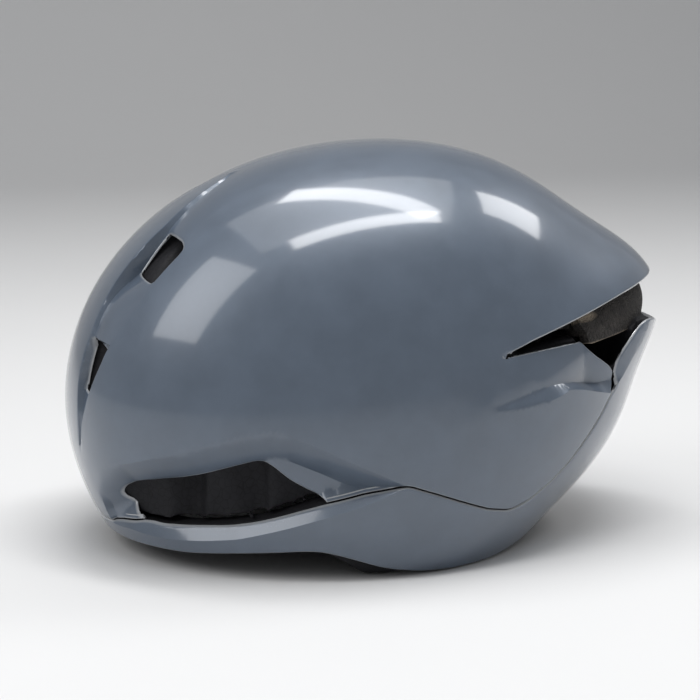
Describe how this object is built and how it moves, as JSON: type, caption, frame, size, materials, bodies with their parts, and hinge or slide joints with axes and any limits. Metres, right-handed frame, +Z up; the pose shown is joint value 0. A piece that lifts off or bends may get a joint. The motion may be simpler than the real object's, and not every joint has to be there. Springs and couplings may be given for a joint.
{
  "type": "aero road bike helmet",
  "caption": "Aero road bike helmet: smooth two-part outer shell over foam, front vents, rear slot, dial fit system, fit pads and webbing straps with a side-release buckle.",
  "frame": {"origin": "on the resting plane, below the middle of the helmet's length and width", "axes": "+X from the nose to the tail, +Y to one side, +Z up"},
  "size_m": [0.2776, 0.204, 0.1803],
  "materials": {
    "shell_paint": "clear-coated",
    "liner_foam": "moulded foam",
    "core_foam": "coarse foam",
    "pad_cloth": "knitted",
    "webbing": "woven",
    "trim_plastic": "satin",
    "dial_plastic": "satin",
    "elastic": "matte",
    "steel": "turned"
  },
  "bodies": {
    "helmet": {"upper_shell": "shell_paint", "lower_shell": "shell_paint", "crown_liner": "liner_foam", "lower_liner": "liner_foam", "tail_core": "core_foam", "brow_pad": "pad_cloth", "crown_pad": "pad_cloth", "top_pad_left": "pad_cloth", "top_pad_right": "pad_cloth", "side_pad_left": "pad_cloth", "side_pad_right": "pad_cloth", "temple_pin_left": "trim_plastic", "temple_pin_right": "trim_plastic", "strap_anchors": "trim_plastic", "front_strap_left": "webbing", "front_strap_right": "webbing", "rear_strap_left": "webbing", "rear_strap_right": "webbing", "strap_divider_left": "trim_plastic", "strap_divider_right": "trim_plastic", "chin_strap_left": "webbing", "strap_keeper_left": "elastic", "buckle_socket": "trim_plastic"},
    "cradle": {"band_left": "trim_plastic", "band_right": "trim_plastic", "dial_housing": "trim_plastic", "housing_cover": "trim_plastic", "nape_cradle": "trim_plastic", "nape_pad_left": "pad_cloth", "nape_pad_right": "pad_cloth"},
    "dial": {"dial_knob": "dial_plastic", "dial_shaft": "steel", "drive_pinion": "dial_plastic"},
    "left_rack": {"rack_left": "trim_plastic"},
    "right_rack": {"rack_right": "trim_plastic"},
    "plug": {"buckle_plug": "trim_plastic", "chin_strap_right": "webbing", "strap_keeper_right": "elastic"}
  },
  "joints": [
    {"name": "cradle_tilt", "type": "hinge", "parent": "helmet", "child": "cradle", "pos_m": [-0.016, 0, 0.029], "axis": [0, -1, 0], "range_deg": [0, 6]},
    {"name": "dial_turn", "type": "hinge", "parent": "cradle", "child": "dial", "pos_m": [0.082, 0, 0.019], "axis": [-1, 0, 0], "range_deg": [0, 100]},
    {"name": "rack_left_slide", "type": "slide", "parent": "cradle", "child": "left_rack", "axis": [0, 1, 0], "range_m": [0, 0.008]},
    {"name": "rack_right_slide", "type": "slide", "parent": "cradle", "child": "right_rack", "axis": [0, -1, 0], "range_m": [0, 0.008]},
    {"name": "plug_slide", "type": "slide", "parent": "helmet", "child": "plug", "axis": [0, 1, 0], "range_m": [0, 0.018]}
  ],
  "couplings": [
    {"joint": "rack_left_slide", "follows": "dial_turn", "m_per_rad": 0.0045},
    {"joint": "rack_right_slide", "follows": "dial_turn", "m_per_rad": 0.0045}
  ]
}
